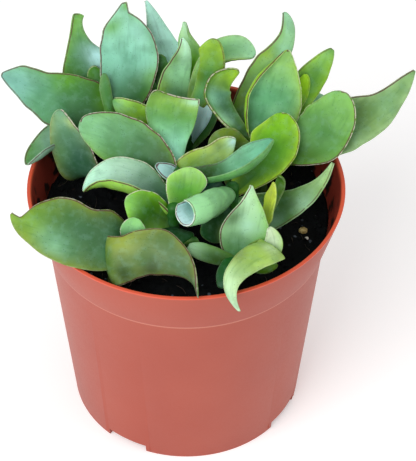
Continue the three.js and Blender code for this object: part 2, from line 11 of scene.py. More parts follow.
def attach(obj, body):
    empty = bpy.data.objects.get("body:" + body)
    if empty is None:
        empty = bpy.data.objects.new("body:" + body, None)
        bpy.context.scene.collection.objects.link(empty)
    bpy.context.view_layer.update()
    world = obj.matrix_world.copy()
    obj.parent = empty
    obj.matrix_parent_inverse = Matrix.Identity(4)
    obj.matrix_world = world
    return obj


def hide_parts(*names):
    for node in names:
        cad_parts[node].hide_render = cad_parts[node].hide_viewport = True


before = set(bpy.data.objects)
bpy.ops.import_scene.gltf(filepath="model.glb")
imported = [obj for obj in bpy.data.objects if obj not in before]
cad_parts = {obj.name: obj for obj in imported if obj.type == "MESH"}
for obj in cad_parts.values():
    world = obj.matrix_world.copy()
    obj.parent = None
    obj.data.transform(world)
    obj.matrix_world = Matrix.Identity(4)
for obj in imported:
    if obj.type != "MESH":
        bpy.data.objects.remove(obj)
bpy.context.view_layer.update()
MM = 0.001

# Camera. It looks down at the pot from in front with a long lens, 650 mm from the middle of the
# rim and 43 degrees above it, and is aimed a little to the right of the plant and below it.
RIM_HEIGHT = 92.4
EYE_DISTANCE = 650
EYE_ELEVATION = 43
AIM_RIGHT = 0.878
AIM_DOWN = 44.349
CAMERA_ROLL = 0.5
LENS = 154
NEAREST = 0.05


def heading(azimuth, elevation):
    """The unit vector that points to an azimuth from +X and an elevation, in degrees."""
    flat = math.cos(math.radians(elevation))
    turn = math.radians(azimuth)
    return Vector((flat * math.cos(turn), flat * math.sin(turn), math.sin(math.radians(elevation))))


camera = bpy.data.objects.new("camera", bpy.data.cameras.new("camera"))
bpy.context.scene.collection.objects.link(camera)
bpy.context.scene.camera = camera
camera.data.lens = LENS
camera.data.clip_start = NEAREST
rim_centre = Vector((0, 0, RIM_HEIGHT * MM))
camera.location = rim_centre + heading(-90, EYE_ELEVATION) * EYE_DISTANCE * MM
camera.rotation_mode = "QUATERNION"
aim = heading(90 - AIM_RIGHT, -AIM_DOWN).to_track_quat("-Z", "Y")
camera.rotation_quaternion = aim @ Quaternion((0, 0, 1), math.radians(CAMERA_ROLL))

# Pot. A nursery pot injection moulded in terracotta-coloured polypropylene: a smooth body that
# tapers to its foot, a flared band under a glossy lip, and four drain recesses at the foot.
# The section is spun round the axis, its corners are rounded, and the recesses are cut out.
RIM_RADIUS = 52.5
BAND_HEIGHT = 19
BAND_FOOT_RADIUS = 47.3
LEDGE = 0.7
BASE_RADIUS = 40
WALL = 1.3
FLOOR = 2.4
POT_SIDES = 160
RECESS_FIRST_ANGLE = -31.5
RECESS_WIDTH = 15
RECESS_HEIGHT = 3.2
RECESS_DEPTH = 6.5
RECESS_WALL = 1.5
SLOT_WIDTH = 9
SLOT_DEPTH = 2.5
BAND_FOOT = RIM_HEIGHT - BAND_HEIGHT
ROUNDING = 0.3
ROUNDED_ANGLE = 20
SHARP_ANGLE = 32


def colour(code):
    """A linear colour from its six-digit code."""
    parts = [int(code[i:i + 2], 16) / 255 for i in (0, 2, 4)]
    return (*[((c + 0.055) / 1.055) ** 2.4 if c > 0.04 else c / 12.92 for c in parts], 1)


class Wire:
    """One output of a material's nodes. Sums and products of it add Math nodes."""

    def __init__(self, tree, socket=None):
        self.tree = tree
        self.socket = socket

    def node(self, kind, settings=None, inputs=None, output=0):
        made = self.tree.nodes.new(kind)
        for name, value in (settings or {}).items():
            setattr(made, name, value)
        for name, value in (inputs or {}).items():
            if isinstance(value, Wire):
                self.tree.links.new(value.socket, made.inputs[name])
            else:
                made.inputs[name].default_value = value
        return Wire(self.tree, made.outputs[output])

    def maths(self, operation, first, second):
        return self.node("ShaderNodeMath", {"operation": operation}, {0: first, 1: second})

    def __add__(self, other):
        return self.maths("ADD", self, other)

    def __radd__(self, other):
        return self.maths("ADD", other, self)

    def __sub__(self, other):
        return self.maths("SUBTRACT", self, other)

    def __rsub__(self, other):
        return self.maths("SUBTRACT", other, self)

    def __mul__(self, other):
        return self.maths("MULTIPLY", self, other)

    def __rmul__(self, other):
        return self.maths("MULTIPLY", other, self)

    def within(self, low, high):
        """0 below low, 1 above high and smooth between them, or the other way if low is above."""
        up = low < high
        limits = {"From Min": min(low, high), "From Max": max(low, high),
                  "To Min": 0.0 if up else 1.0, "To Max": 1.0 if up else 0.0}
        return self.node("ShaderNodeMapRange", {"interpolation_type": "SMOOTHSTEP"},
                         {"Value": self, **limits})

    def blend(self, first, second):
        """The colour first, going over to second as this value goes from 0 to 1."""
        return self.node("ShaderNodeMix", {"data_type": "RGBA"},
                         {"Factor": self, 6: first, 7: second}, 2)

    def mottled(self, scale, detail):
        """A noise texture at this place, with patches of about 1 / scale."""
        return self.node("ShaderNodeTexNoise",
                         inputs={"Vector": self, "Scale": scale, "Detail": detail})

    def relief(self, strength, distance):
        """The normal of a surface that has this height."""
        return self.node("ShaderNodeBump",
                         inputs={"Strength": strength, "Distance": distance, "Height": self})


def finish_of(name, **constants):
    """A material, the place on its piece as a wire, and its shader with these settings."""
    material = bpy.data.materials.new(name)
    material.use_nodes = True
    tree = material.node_tree
    shader = tree.nodes["Principled BSDF"]
    for socket, value in constants.items():
        shader.inputs[socket.replace("_", " ")].default_value = value
    return material, Wire(tree).node("ShaderNodeTexCoord", output="Object"), shader


def feed(shader, **links):
    """Links each of these wires to the shader's socket of that name."""
    for socket, wire in links.items():
        wire.tree.links.new(wire.socket, shader.inputs[socket.replace("_", " ")])


def object_of(name, bm, *materials):
    """Makes an object of the mesh, with these materials."""
    mesh = bpy.data.meshes.new(name)
    bm.to_mesh(mesh)
    bm.free()
    for material in materials:
        mesh.materials.append(material)
    made = bpy.data.objects.new(name, mesh)
    bpy.context.scene.collection.objects.link(made)
    return made


def piece_of(name, bm, material, slot, *nodes):
    """Makes a piece of the mesh, which rides on the body and stands for these nodes."""
    piece = object_of(name, bm, material)
    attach(piece, "root")
    if nodes:
        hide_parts(*nodes)
    return piece


def spun(bm, profile, sides):
    """Spins a chain of radius and height pairs, in mm, round the pot's axis."""
    verts = [bm.verts.new((radius * MM, 0, height * MM)) for radius, height in profile]
    edges = [bm.edges.new(pair) for pair in zip(verts, verts[1:])]
    bmesh.ops.spin(bm, geom=verts + edges, cent=(0, 0, 0), axis=(0, 0, 1),
                   angle=math.tau, steps=sides, use_merge=True)
    bmesh.ops.remove_doubles(bm, verts=bm.verts, dist=1e-6)
    bmesh.ops.recalc_face_normals(bm, faces=bm.faces)


def cutter(angle, inside, depth, width, low, high):
    """A box outside the radius inside, turned about the pot's axis, for a Boolean cut."""
    bm = bmesh.new()
    size = Matrix.Diagonal((depth * MM, width * MM, (high - low) * MM, 1))
    place = Matrix.Translation(((inside + depth / 2) * MM, 0, (low + high) / 2 * MM))
    bmesh.ops.create_cube(bm, size=1, matrix=Matrix.Rotation(math.radians(angle), 4, "Z") @ place @ size)
    return object_of("cutter", bm)


def combine(piece, other, operation):
    """Applies a Boolean of the piece with another object, which is then removed."""
    modifier = piece.modifiers.new("cut", "BOOLEAN")
    modifier.object = other
    modifier.operation = operation
    modifier.solver = "EXACT"
    graph = bpy.context.evaluated_depsgraph_get()
    mesh = bpy.data.meshes.new_from_object(piece.evaluated_get(graph))
    piece.modifiers.clear()
    piece.data = mesh
    bpy.data.objects.remove(other)


pot_finish, spot, pot_shader = finish_of("terracotta_plastic", IOR=1.47, Specular_IOR_Level=0.35)
height = spot.node("ShaderNodeSeparateXYZ", inputs={0: spot}, output="Z")
radius = spot.node("ShaderNodeVectorMath", {"operation": "LENGTH"},
                   {0: spot.node("ShaderNodeVectorMath", {"operation": "MULTIPLY"},
                                 {0: spot, 1: (1, 1, 0)})}, "Value")
swirl = spot.mottled(22, 2)
grain = spot.mottled(1400, 3)
dust = spot.mottled(170, 5)
wall_colour = swirl.within(0.3, 0.7).blend(colour("A04635"), colour("A64C3A"))
# The top of the lip is painted a brighter orange: a painted highlight where it faces up to the light.
lip = height.within((RIM_HEIGHT - 0.9) * MM, (RIM_HEIGHT - 0.3) * MM)
wall_colour = lip.blend(wall_colour, colour("CE5236"))
# A pale line painted along the rounded ledge at the band's foot: a painted highlight where that edge
# catches the light.
ledge_highlight = height.within((BAND_FOOT + 0.9) * MM, (BAND_FOOT + 0.35) * MM)
ledge_highlight = ledge_highlight * height.within((BAND_FOOT - 1.2) * MM, (BAND_FOOT - 0.5) * MM)
wall_colour = (ledge_highlight * 0.55).blend(wall_colour, colour("D08A76"))
flare = (RIM_RADIUS - BAND_FOOT_RADIUS) / BAND_HEIGHT
from_wall = radius - (height - RIM_HEIGHT * MM) * flare - RIM_RADIUS * MM
# The inner wall between the lip and the soil is painted dark red: painted shade inside the pot. The soil
# specks below lie on the same band.
shaded_inner_wall = from_wall.within(-0.5 * WALL * MM, -0.7 * WALL * MM)
shaded_inner_wall = shaded_inner_wall * height.within((RIM_HEIGHT - 14) * MM, (RIM_HEIGHT - 12) * MM)
shaded_inner_wall = shaded_inner_wall * height.within((RIM_HEIGHT - 0.6) * MM, (RIM_HEIGHT - 1.6) * MM)
wall_colour = (shaded_inner_wall * 0.7).blend(wall_colour, colour("6E1C14"))
soiled = dust.within(0.5, 0.58) * height.within((RIM_HEIGHT - 1) * MM, (RIM_HEIGHT - 6) * MM)
wall_colour = (soiled * shaded_inner_wall).blend(wall_colour, colour("1E1410"))
relief = grain.relief(0.12, 0.0001)
feed(pot_shader, Base_Color=wall_colour, Roughness=0.36 + grain * 0.14 + dust * 0.06 - lip * 0.1,
     Normal=relief)

bm = bmesh.new()
spun(bm, [
    (0, 0),
    (BASE_RADIUS, 0),
    (BAND_FOOT_RADIUS - LEDGE, BAND_FOOT - LEDGE / 2),
    (BAND_FOOT_RADIUS, BAND_FOOT),
    (RIM_RADIUS, RIM_HEIGHT),
    (RIM_RADIUS - WALL, RIM_HEIGHT),
    (BAND_FOOT_RADIUS - WALL, BAND_FOOT),
    (BAND_FOOT_RADIUS - LEDGE - WALL, BAND_FOOT - LEDGE),
    (BASE_RADIUS - WALL, FLOOR),
    (0, FLOOR),
], POT_SIDES)
corners = [edge for edge in bm.edges if edge.calc_face_angle(0) > math.radians(ROUNDED_ANGLE)]
bmesh.ops.bevel(bm, geom=corners, offset=ROUNDING * MM, offset_type="OFFSET", affect="EDGES",
                segments=3, profile=0.5, material=-1)
pot = piece_of("nursery_pot", bm, pot_finish, "pot_plastic", "pot")
RECESS_INSIDE = BASE_RADIUS - WALL - RECESS_DEPTH
RECESS_ROOF = RECESS_HEIGHT + RECESS_WALL
for quarter in range(4):
    angle = RECESS_FIRST_ANGLE + 90 * quarter
    block = (angle, RECESS_INSIDE - RECESS_WALL, RECESS_DEPTH + WALL / 2 + RECESS_WALL,
             RECESS_WIDTH + 2 * RECESS_WALL, FLOOR / 2, RECESS_ROOF)
    combine(pot, cutter(*block), "UNION")
    pocket = (angle, RECESS_INSIDE, RECESS_DEPTH * 2, RECESS_WIDTH, -1, RECESS_HEIGHT)
    combine(pot, cutter(*pocket), "DIFFERENCE")
    slot_inside = RECESS_INSIDE + RECESS_DEPTH / 2 - SLOT_DEPTH / 2
    slot = (angle, slot_inside, SLOT_DEPTH, SLOT_WIDTH, 1, RECESS_ROOF + 1)
    combine(pot, cutter(*slot), "DIFFERENCE")
pot.data.shade_smooth()
pot.data.set_sharp_from_angle(angle=math.radians(SHARP_ANGLE))

# Soil. Dark damp peat that fills the pot to about 10 mm below the rim. Its top is a spun disc
# raised into lumps by a noise formula, with crumbs and a few pale root fibres lying on it.
SOIL = 82
SOIL_RELIEF = 0.8
CLOD_RELIEF = 0.75
CRUMB_RELIEF = 0.3
EDGE_START = 0.8
EDGE_DROP = 6
EDGE_SINK = 3
GAP = 0.3
SOIL_SIDES = 200
SOIL_RINGS = 70
CRUMBS = 900
CRUMB_REACH = 48
FIBRES = 130
FIBRE_REACH = 46
SEED = 7


def soil_height(x, y):
    """The height in mm of the soil's gentle lumps, as on the solid below."""
    lumps = math.sin(x * 0.31 + 1) * math.cos(y * 0.27) + 0.6 * math.sin(x * 0.55 - y * 0.48)
    edge = max(math.hypot(x, y) / BAND_FOOT_RADIUS - EDGE_START, 0)
    return SOIL - SOIL_RELIEF + SOIL_RELIEF * lumps / 1.6 - EDGE_DROP * edge


def crumbly(x, y):
    """The soil's height with the peat's own crumb structure."""
    spot = Vector((x, y, 0))
    coarse = noise.fractal(spot * 0.35, 1.0, 2.0, 3)
    fine = noise.fractal(spot * 1.1, 0.9, 2.1, 3)
    return soil_height(x, y) + CLOD_RELIEF * coarse + CRUMB_RELIEF * (fine - 1)


def soften(bm):
    """Shades every face of the mesh smooth."""
    for face in bm.faces:
        face.smooth = True


soil_finish, spot, soil_shader = finish_of("damp_peat", Specular_IOR_Level=0.12)
clods = spot.mottled(260, 6)
flecks = spot.node("ShaderNodeTexVoronoi", inputs={"Vector": spot, "Scale": 420})
fleck_kind = spot.node("ShaderNodeTexVoronoi", inputs={"Vector": spot, "Scale": 420}, output="Color")
fleck_pick = spot.node("ShaderNodeSeparateXYZ", inputs={0: fleck_kind})
peat = clods.within(0.4, 0.75).blend(colour("030506"), colour("0D1012"))
brown = flecks.within(0.32, 0.2) * fleck_pick.within(0.86, 0.9)
peat = (brown * 0.6).blend(peat, colour("241C16"))
pale = flecks.within(0.3, 0.15) * fleck_pick.within(0.16, 0.1)
peat = (pale * 0.7).blend(peat, colour("66707A"))
relief = clods.relief(0.8, 0.0008)
feed(soil_shader, Base_Color=peat, Roughness=0.62 + clods * 0.4, Normal=relief)

inner = BASE_RADIUS - WALL - GAP
band_inner = BAND_FOOT_RADIUS - WALL - GAP
soil_edge = band_inner + flare * (SOIL - EDGE_SINK - BAND_FOOT)
rings = [soil_edge * (1 - i / SOIL_RINGS) for i in range(SOIL_RINGS)]
bm = bmesh.new()
spun(bm, [(0, RECESS_ROOF + GAP), (inner, RECESS_ROOF + GAP), (band_inner - LEDGE, BAND_FOOT - LEDGE),
          (band_inner, BAND_FOOT + GAP), *[(ring, SOIL) for ring in rings], (0, SOIL)], SOIL_SIDES)
for vert in bm.verts:
    if vert.co.z > (SOIL - 1) * MM:
        vert.co.z = crumbly(vert.co.x / MM, vert.co.y / MM) * MM
soften(bm)
piece_of("soil_bed", bm, soil_finish, "potting_soil", "soil")

chance = random.Random(SEED)
noise.seed_set(SEED)
bm = bmesh.new()
for _ in range(CRUMBS):
    reach = CRUMB_REACH * math.sqrt(chance.random())
    turn = math.tau * chance.random()
    x, y = reach * math.cos(turn), reach * math.sin(turn)
    size = 0.25 + 0.85 * chance.random() ** 2.5
    stretch = Matrix.Diagonal((size * (0.8 + chance.random()), size, size * 0.75, 1))
    lean = Matrix.Rotation(math.tau * chance.random(), 4, "Z")
    place = Matrix.Translation((x, y, crumbly(x, y) + size * 0.25))
    crumb = bmesh.ops.create_icosphere(bm, subdivisions=1, radius=1,
                                       matrix=Matrix.Scale(MM, 4) @ place @ lean @ stretch)
    for vert in crumb["verts"]:
        vert.co += noise.noise_vector(vert.co / MM * 1.7) * 0.22 * size * MM
piece_of("peat_crumbs", bm, soil_finish, "potting_soil")


def close_up(bm):
    """Welds the seams of folded grids, turns their faces outwards and shades them smooth."""
    bmesh.ops.remove_doubles(bm, verts=bm.verts, dist=1e-7)
    bmesh.ops.recalc_face_normals(bm, faces=bm.faces)
    soften(bm)


fibre_finish, spot, fibre_shader = finish_of("peat_fibre", Specular_IOR_Level=0.3)
stain = spot.mottled(300, 4)
feed(fibre_shader, Base_Color=stain.within(0.3, 0.7).blend(colour("1C1713"), colour("4A4036")),
     Roughness=0.7 + stain * 0.2)
bm = bmesh.new()
for _ in range(FIBRES):
    reach = FIBRE_REACH * math.sqrt(chance.random())
    turn = math.tau * chance.random()
    x, y = reach * math.cos(turn), reach * math.sin(turn)
    length = 2 + 6 * chance.random() ** 2
    bend = chance.uniform(-0.25, 0.25)
    way = math.tau * chance.random()
    thick = 0.06 + 0.08 * chance.random()
    fibre = bmesh.ops.create_grid(bm, x_segments=4, y_segments=8, size=0.5)["verts"]
    for vert in fibre:
        round_it = (vert.co.x + 0.5) * math.tau
        along = (vert.co.y + 0.5) * length
        swing = way + bend * along
        px, py = x + along * math.cos(swing), y + along * math.sin(swing)
        inward = CRUMB_REACH / max(math.hypot(px, py), CRUMB_REACH)
        px, py = px * inward, py * inward
        slim = thick * math.sqrt(max(1 - (2 * along / length - 1) ** 4, 0))
        lift = 0.25 + 0.3 * math.sin(math.pi * along / length)
        vert.co = Vector((px - slim * math.cos(round_it) * math.sin(swing),
                          py + slim * math.cos(round_it) * math.cos(swing),
                          crumbly(px, py) + lift + slim * math.sin(round_it))) * MM
close_up(bm)
piece_of("peat_fibres", bm, fibre_finish, "potting_soil")

# Stones. A tan pebble and a grain of perlite, half sunk in the soil at the right. Each is a
# round ball pushed out of true by noise, with a rough mottled skin.
for name, at, size, dark, light, slot in (
    ("pebble", (38.5, -10.5), (1.5, 1.3, 1.1), "8A7440", "C9B67C", "tan_stone"),
    ("perlite_grain", (39.5, -13.5), (0.8, 0.7, 0.6), "A9A598", "E9E6DC", "pale_stone"),
):
    stone_finish, spot, stone_shader = finish_of(name + "_skin", Specular_IOR_Level=0.3)
    mottle = spot.mottled(900, 5)
    relief = mottle.relief(0.6, 0.0002)
    feed(stone_shader, Base_Color=mottle.within(0.35, 0.65).blend(colour(dark), colour(light)),
         Roughness=0.6 + mottle * 0.3, Normal=relief)
    bm = bmesh.new()
    place = Matrix.Translation((*at, soil_height(*at)))
    bmesh.ops.create_icosphere(bm, subdivisions=4, radius=1,
                               matrix=Matrix.Scale(MM, 4) @ place @ Matrix.Diagonal((*size, 1)))
    for vert in bm.verts:
        vert.co += noise.noise_vector(vert.co / MM * 1.3) * 0.12 * size[2] * MM
    soften(bm)
    piece_of(name + "_stone", bm, stone_finish, slot, name)

# Leafy stems. Short green stems that carry fleshy, wavy-edged leaves: a waxy pale bloom over
# green, small dark dots, a yellow-green zone inside the margin that is partly painted light shining
# through the leaf, a thin purple-brown line on the margin with a painted highlight along its rounded
# edge, and painted shade that darkens the bases where the leaves crowd at the stems.
# Each leaf is a grid folded into a flat closed sleeve round a curved midrib.
STEM_DEPTH = 11
STEM_RADIUS = 2.3
NECK = 1.6
LEAF_HALF_THICKNESS = 1.1
MARGIN_HALF_THICKNESS = 0.4
LEAF_END = 0.03
LEAF_AROUND = 48
LEAF_ALONG = 56
RIPPLE = 0.45
RIPPLE_LENGTH = 4.5
DIMPLE = 0.35
DIMPLE_WIDTH = 4.5
DIMPLE_LENGTH = 5.5
GLOW_REACH = 1.8
SEEDS_PER_STEM = 12
SKIN_SHARE = 1.13
SKIN_DEPTH = 1.3
STEM_FOOT_TONE = "5A6A34"
STEM_TOP_TONE = "3F7A30"
# The shape of a leaf is the solid's: how far up the stem it roots, the points of its rib, its
# width and where it is widest, how full its base and point are, half the width of a blunt end,
# the direction across it, and for its left and right half the curl, flat part and wave. A lobe
# has a side, a place and a spread along the blade, and a bulge in mm. The look is tones for tip,
# middle, heel, back and warm margin, then for each half the strength of that warm glow, of the
# purple-brown line and of the pale rim highlight. Dark heel tones are partly painted shade where
# the leaves crowd at the stem, the warm glow is partly painted light shining through the thin edge,
# and the pale rim is a painted highlight on the rounded margin. A spot has a place across (-1 to 1)
# and along (0 to 1) the blade, a size in mm, a tone and its strength.
PLAIN_LEAF = dict(across=(0, -10), wide=0.6, base=1.3, point=0.7, blunt=0.5, roll=(15, 15), flat=(0, 0),
                  left=(0, 1, 0), right=(0, 1, 0), lobes=(), horn=0, tip="7CB88A", mid=None,
                  heel="4F8A34", back="6E9238", warm="86B41E", glow=(0.3, 0.3), line=(0.4, 0.4),
                  rim=(0.1, 0.1), edge=0, spots=())
STEMS = {
    "stem_back_left": dict(foot=(-24, 17), top=(-24, 19, 104), leaves=[
        # The long one that reaches out to the left.
        dict(up=17, rib=[(-42.5, 25.5, 108), (-61.5, 30.5, 114)], width=20.5, across=(90, 48),
             wide=0.35, base=0.5, point=0.8, roll=(15, 10), right=(1.5, 1, 160),
             lobes=[(1, 0.86, 0.07, 0.8), (1, 0.65, 0.14, -1.8), (1, 0.27, 0.08, 1)], tip="8CC0B4",
             mid="5C9468", heel="2F6424", glow=(0.1, 0.6), line=(0.8, 0.9), rim=(0.1, 0.2),
             spots=[(0.7, 0.5, 4, "6FA83C", 0.8), (-0.6, 0.62, 5, "78B08C", 0.7),
                    (0.75, 0.2, 3.5, "6BA01C", 0.8)]),
        # The low cupped one behind it, whose tip hangs over the rim.
        dict(up=9, rib=[(-40.5, 17, 96), (-53, 6.5, 95)], width=17, across=(120, 5), wide=0.5, base=0.7,
             roll=(105, 40), lobes=[(-1, 0.42, 0.27, -8), (-1, 0.88, 0.1, 2.5), (1, 0.75, 0.2, -1.5)],
             tip="6A9864", mid="A0C4B4", heel="8CB0A0", back="A4C4B0", glow=(0, 0.4), line=(0.7, 0.8)),
        # The tall one with a drawn-out tip.
        dict(up=20, rib=[(-35, 39.5, 116), (-35.5, 42.5, 130)], width=14.5, across=(0, 0), wide=0.35,
             point=2.6, blunt=2, roll=(30, 30),
             lobes=[(-1, 0.66, 0.2, -1.2), (-1, 0.27, 0.15, 3), (1, 0.64, 0.2, -0.9),
                    (1, 0.38, 0.12, 1.2)], tip="90C078", mid="5E9264", heel="3F7438", glow=(0.6, 0.1),
             line=(0.8, 0.3),
             spots=[(0.75, 0.42, 5, "B8E0E0", 1), (-0.7, 0.3, 4, "5C8428", 0.9),
                    (0, 0.97, 1.5, "7DB65A", 0.8)]),
        # Two young leaves beside the stem's tip.
        dict(up=18, rib=[(-29.5, 30.5, 109), (-30.5, 33.5, 115)], width=6, across=(10, 0), tip="5E9640",
             heel="36681C", glow=(0.2, 0.2), line=(0, 0), rim=(0.3, 0.3)),
        dict(up=19, rib=[(-26.5, 24.5, 110), (-27, 28.5, 116)], width=4, across=(10, 0), tip="6A9C6A",
             heel="4F8A4C", line=(0.1, 0.2)),
        # The tallest and widest upright leaf.
        dict(up=18, rib=[(-19, 34.5, 116), (-20, 45, 133)], width=19.5, across=(0, -5), wide=0.5,
             base=0.8, point=0.85, left=(1, 1, 0), right=(1, 1.5, 180),
             lobes=[(-1, 0.8, 0.2, 2), (1, 0.93, 0.09, -3.2), (1, 0.78, 0.1, -0.6)], tip="A8D8C0",
             mid="92CAB4", heel="4C7C54", glow=(0.1, 0.4), line=(1, 1), rim=(0.4, 0.6),
             spots=[(-0.7, 0.8, 3.5, "78AE6C", 0.9), (0, 0.97, 1.8, "78B04C", 0.9),
                    (0.3, 0.32, 4, "588A68", 0.8), (0.85, 0.4, 3, "78B060", 0.7),
                    (0.5, 0.75, 4, "A4D4C4", 0.8), (0.75, 0.28, 5, "3C7040", 0.9)]),
        # The dark upright one that stands low at the left.
        dict(up=4, rib=[(-32, 8.5, 90), (-38.5, 12.5, 100), (-41, 15, 112)], width=16, across=(-20, 0),
             wide=0.45, base=0.5, roll=(20, 30), lobes=[(-1, 0.3, 0.2, 1.8)], tip="83AF8F",
             mid="44705C", heel="2C5438", warm="A8B464", glow=(0.6, 0.3), line=(0.3, 0.8),
             rim=(0.1, 0.8),
             spots=[(-0.6, 0.6, 3, "74A474", 0.5), (0, 0.35, 4, "729F88", 0.4),
                    (0.8, 0.85, 2.5, "B4CC98", 0.9)]),
        # Two that spread towards the back.
        dict(up=12, rib=[(-35, 31, 101), (-44, 43, 99)], width=15, across=(30, -10), left=(1.5, 1.3, 0),
             right=(1.5, 1.3, 120), mid="5C9A55"),
        dict(up=14, rib=[(-22, 39, 106), (-20, 58, 100)], width=16, across=(0, 0), left=(2, 1.3, 0),
             right=(2, 1.3, 160), mid="5C9A55"),
        # Two short ones low on the stem.
        dict(up=6, rib=[(-29, 27, 92), (-34, 35, 94)], width=10, across=(30, 0)),
        dict(up=8, rib=[(-18.5, 27, 94), (-15, 36, 97)], width=9, across=(-20, 0)),
    ]),
    "stem_back": dict(foot=(0, 21), top=(0, 22, 104), leaves=[
        # The tall pale one behind the widest leaf, its pale tones lifted further with painted light
        # against the shade of that leaf.
        dict(up=17, rib=[(-7, 40.5, 112), (-13.5, 49.5, 130)], width=10.5, wide=0.45, point=0.9,
             lobes=[(-1, 0.85, 0.15, -0.9), (1, 0.8, 0.15, 0.3), (1, 0.5, 0.12, 2)], tip="B4DCD0",
             mid="BCE8DC", heel="94D8B8", glow=(0.1, 0.1), line=(0.3, 0.1), rim=(0.5, 0)),
        # The mint one in front of it.
        dict(up=18, rib=[(-4.5, 29, 109), (-2, 33, 117), (-1.5, 36, 125)], width=11, across=(20, 0),
             wide=0.35, base=0.5, point=0.9, roll=(20, 20), tip="C8F0D4", mid="A8DCB0", heel="44702C",
             warm="A4C878", glow=(0.8, 0.2), line=(1, 0.1),
             spots=[(-0.75, 0.35, 2.5, "7CA030", 0.9), (-0.7, 0.7, 2, "7CB058", 0.6)]),
        # The bright pointed one in the middle of the back.
        dict(up=17, rib=[(2, 37.5, 112), (-0.5, 42, 127)], width=9, across=(-20, 0), wide=0.5,
             point=1.1, lobes=[(1, 0.85, 0.12, -1.6), (-1, 0.8, 0.15, 1)], tip="D0F4D0", mid="88CC34",
             heel="4A8210", glow=(0.4, 0.7), line=(0.1, 0.2)),
        # The blunt yellow-green one.
        dict(up=18, rib=[(8, 27.5, 116), (8.5, 32, 128)], width=9, across=(-20, 0), blunt=2.2,
             lobes=[(-1, 0.88, 0.15, 1.4)], horn=-1, tip="9CC04C", mid="589444", heel="74B488",
             warm="9CBC38", glow=(0.6, 0.9), line=(0.1, 0.6), spots=[(-0.8, 0.45, 3, "3C7030", 0.9)]),
        # The one that reaches to the right behind it.
        dict(up=20, rib=[(9.5, 35, 117), (23, 36, 117)], width=10.5, across=(-105, -40), wide=0.75,
             point=0.6, roll=(20, 95), flat=(0, 0.2), tip="ACDCB4", mid="94D08C", heel="94B84C",
             back="98C048", warm="C0DC98", glow=(0.4, 0.8), line=(0.1, 0.7), rim=(0.3, 0),
             spots=[(-0.8, 0.2, 4, "2C6400", 1)]),
        # The one with a yellow-green upper margin that points to the left.
        dict(up=15, rib=[(-15, 18.5, 106), (-24, 22.5, 110)], width=8.5, across=(90, 50), wide=0.5,
             roll=(15, 10), tip="78AC74", mid="8CB83C", heel="6A9A2C", warm="B8E468", glow=(0.2, 0.8),
             line=(0.1, 0.8), rim=(0, 0.6)),
        # The small dark one between the tall ones.
        dict(up=17, rib=[(-8, 33.5, 110), (-7.5, 36.5, 117)], width=6, blunt=1.2, tip="6A9C60",
             mid="3C6A24", heel="2D5C14", glow=(0, 0), line=(0, 0)),
        # The short one low in the middle, in the shade of the others, painted near-white: painted light
        # that makes up for that shade.
        dict(up=8, rib=[(4, 22, 102), (6.5, 25.5, 108)], width=8, tip="E0FCFF", heel="D0FCFC",
             glow=(0, 0), line=(0.2, 0.2)),
        # Two that spread towards the back.
        dict(up=9, rib=[(-4, 38, 99), (-5, 53, 96)], width=14, across=(0, 0), left=(2, 1.3, 60),
             right=(2, 1.3, 200)),
        dict(up=14, rib=[(5, 36, 103), (7, 50, 100)], width=11, across=(0, 0), left=(1.5, 1.3, 0),
             right=(1.5, 1.3, 160)),
        # Two short ones low on the stem.
        dict(up=5, rib=[(5, 30, 91), (9, 39, 94)], width=9, across=(-30, 0)),
        dict(up=6, rib=[(-6, 29, 92), (-10, 37, 95)], width=9, across=(30, 0)),
    ]),
    "stem_back_right": dict(foot=(25, 9), top=(24, 10, 103), leaves=[
        # The folded one with a tip that curls to the right.
        dict(up=18, rib=[(10, 19, 113.5), (17.5, 25.5, 119.5)], width=10, roll=(100, 30),
             flat=(0.35, 0), tip="A4C838", mid="608C78", heel="38603C", back="84A838", glow=(0.8, 0.3),
             line=(0.9, 0.2), rim=(0.6, 0.1),
             spots=[(-0.7, 0.3, 3, "A8D4BC", 1), (-0.5, 0.5, 3, "94C8B0", 0.8),
                    (0.7, 0.75, 4, "507834", 0.8), (0.6, 0.35, 4, "3C644C", 0.8)]),
        # The tall one with a pale tip.
        dict(up=19, rib=[(23, 26, 111), (30.5, 32, 123), (32, 38, 134)], width=11, across=(-20, 0),
             wide=0.45, point=0.6, roll=(25, 25), lobes=[(-1, 0.78, 0.2, -1.8), (-1, 0.13, 0.12, 4)],
             tip="9CC8A4", mid="84B068", heel="50762C", glow=(0.7, 0.1), line=(1, 0.1),
             spots=[(-0.7, 0.6, 3, "9CB848", 0.8), (0.5, 0.7, 3, "9CCAA8", 0.8),
                    (-0.6, 0.25, 4, "607C20", 0.8), (0.5, 0.2, 4, "4F7868", 0.8)]),
        # The wide one with a yellow right margin.
        dict(up=16, rib=[(28.5, 20, 112), (33.5, 26, 128)], width=19, wide=0.42, base=0.5, point=0.85,
             roll=(125, 25), flat=(0.5, 0), lobes=[(-1, 0.55, 0.25, 3), (1, 0.45, 0.25, 0.8)],
             tip="9FC97F", mid="7AB78B", heel="5C9468", back="A4CC40", warm="B8DC70", glow=(0.4, 1),
             line=(1, 0.3), rim=(0.2, 0.7),
             spots=[(0.2, 0.4, 3, "98CCA0", 0.6), (-0.5, 0.3, 3, "5A906C", 0.7)]),
        # The slim pointed one and the small round one beside it.
        dict(up=18, rib=[(36, 22, 106), (43, 27.5, 115.5), (48.5, 32.5, 123)], width=8,
             lobes=[(-1, 0.58, 0.24, 2.4)], tip="89B86A", mid="689C48", heel="5C9A36", warm="A4CC48",
             glow=(0.8, 0.9), line=(0.6, 0.2)),
        dict(up=20, rib=[(35, 22, 108), (39.5, 26, 117.7)], width=7.2, tip="B0DC38", heel="6CA82C",
             warm="A4CC48", glow=(0.3, 0.6), line=(0, 0.3)),
        # The long one that reaches out to the right.
        dict(up=16, rib=[(53.5, 14, 105), (75.5, 27.5, 118)], width=16, across=(-90, -42), wide=0.5,
